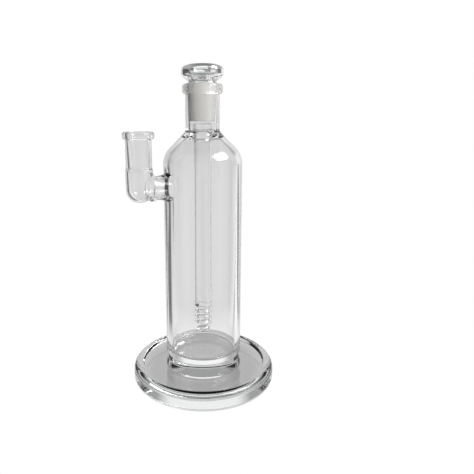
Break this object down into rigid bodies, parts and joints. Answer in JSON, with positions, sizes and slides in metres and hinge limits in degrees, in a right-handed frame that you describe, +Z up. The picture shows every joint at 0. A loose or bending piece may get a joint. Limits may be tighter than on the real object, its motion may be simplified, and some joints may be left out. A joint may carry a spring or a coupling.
{
  "type": "gas washing bubbler",
  "caption": "Tall glass gas-washing bubbler: barrel on a thick round base, dip tube with coiled diffuser, upturned side-arm socket and lift-out mouthpiece.",
  "frame": {"origin": "on the barrel's axis, at the flat underside of the base", "axes": "+Z up along the barrel; the side arm points to -X and 28 degrees towards -Y, which is the front"},
  "size_m": [0.1227, 0.1224, 0.2673],
  "materials": {
    "clear_glass": "fire-polished clear borosilicate glass",
    "base_glass": "thick clear glass with a faint green-grey tint",
    "ground_glass": "fine ground, frosted"
  },
  "bodies": {
    "vessel": {"base_plate": "base_glass", "barrel_foot": "base_glass", "barrel_tube": "clear_glass", "shoulder": "clear_glass", "neck_tube": "clear_glass", "neck_socket": "ground_glass", "neck_bead": "ground_glass", "ring_seal": "clear_glass", "dip_tube": "clear_glass", "diffuser_coil": "clear_glass", "diffuser_tip": "clear_glass", "side_arm_weld": "clear_glass", "side_arm_tube": "clear_glass", "elbow_weld": "clear_glass", "elbow_bulb": "clear_glass", "side_socket": "clear_glass", "side_socket_bead": "clear_glass"},
    "mouthpiece": {"mouthpiece_cone": "ground_glass", "mouthpiece_waist": "clear_glass", "mouthpiece_flange": "clear_glass"}
  },
  "joints": [
    {"name": "mouthpiece_lift", "type": "slide", "parent": "vessel", "child": "mouthpiece", "axis": [0, 0, 1], "range_m": [0, 0.04]}
  ]
}
